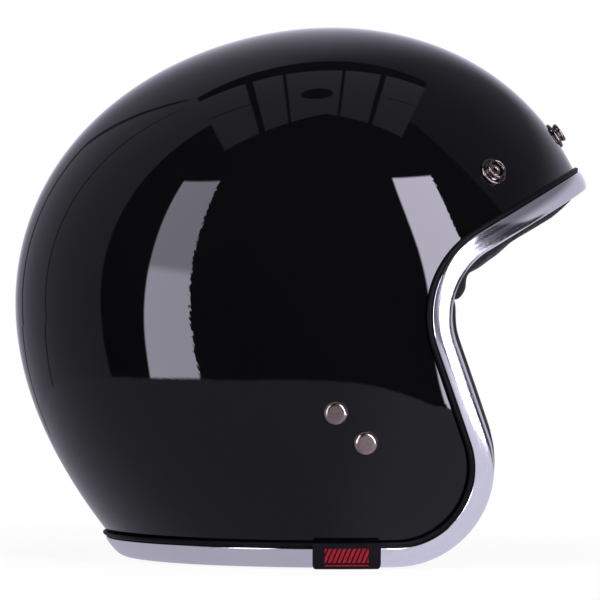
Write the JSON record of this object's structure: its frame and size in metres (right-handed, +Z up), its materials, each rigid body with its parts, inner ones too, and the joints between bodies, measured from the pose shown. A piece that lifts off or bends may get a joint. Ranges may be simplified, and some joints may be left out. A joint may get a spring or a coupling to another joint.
{
  "type": "open-face motorcycle helmet",
  "caption": "Open-face motorcycle helmet with a gloss shell, bright edge trim, brow press studs, a padded foam liner and a double D-ring chin strap.",
  "frame": {"origin": "on the surface the helmet stands on, below the middle of its length and width", "axes": "+X the way the wearer looks, +Y the wearer's left, +Z up"},
  "size_m": [0.2736, 0.242, 0.2535],
  "materials": {
    "shell_gloss": "deep gloss black lacquer",
    "trim_rubber": "satin black rubber",
    "trim_chrome": "bright plated",
    "tag_weave": "fine woven label",
    "liner_foam": "expanded bead foam, dyed black",
    "lining_cloth": "soft black knit",
    "board_plastic": "moulded board",
    "plate_steel": "zinc plated",
    "nickel": "black nickel plated, polished",
    "webbing": "woven nylon webbing",
    "ring_steel": "plated steel wire",
    "cap_black": "enamelled cap"
  },
  "bodies": {
    "helmet": {"outer_shell": "shell_gloss", "trim_rubber": "trim_rubber", "trim_chrome": "trim_chrome", "side_tag": "tag_weave", "foam_liner": "liner_foam", "crown_liner": "lining_cloth", "brow_pad": "lining_cloth", "neck_pad": "lining_cloth", "cheek_pad_left": "lining_cloth", "cheek_pad_right": "lining_cloth", "cheek_board_left": "board_plastic", "cheek_board_right": "board_plastic", "board_studs": "board_plastic", "anchor_plate_left": "plate_steel", "anchor_plate_right": "plate_steel", "strap_rivets": "nickel", "rivet_washers": "nickel", "snap_studs": "nickel", "snap_eyelets": "nickel", "snap_washers": "nickel", "strap_root_left": "webbing", "strap_root_right": "webbing"},
    "left_strap": {"strap_left": "webbing"},
    "lower_ring": {"d_ring_lower": "ring_steel"},
    "upper_ring": {"d_ring_upper": "ring_steel"},
    "right_strap": {"strap_right": "webbing", "keeper_stud": "nickel"},
    "right_strap_end": {"strap_right_end": "webbing", "keeper_cap": "cap_black"}
  },
  "joints": [
    {"name": "left_strap_fold", "type": "hinge", "parent": "helmet", "child": "left_strap", "pos_m": [0.02595, 0.08853, 0.00115], "axis": [1, 0, 0], "range_deg": [0, 100]},
    {"name": "right_strap_fold", "type": "hinge", "parent": "helmet", "child": "right_strap", "pos_m": [0.02595, -0.08853, 0.00115], "axis": [-1, 0, 0], "range_deg": [0, 100]},
    {"name": "strap_end_unfold", "type": "hinge", "parent": "right_strap", "child": "right_strap_end", "pos_m": [0.02595, -0.00418, 0.00585], "axis": [-1, 0, 0], "range_deg": [0, 110]},
    {"name": "lower_ring_swing", "type": "hinge", "parent": "left_strap", "child": "lower_ring", "pos_m": [0.02595, 0.02953, 0.00375], "axis": [1, 0, 0], "range_deg": [0, 60]},
    {"name": "upper_ring_swing", "type": "hinge", "parent": "left_strap", "child": "upper_ring", "pos_m": [0.02595, 0.02953, 0.0071], "axis": [-1, 0, 0], "range_deg": [0, 90]}
  ]
}
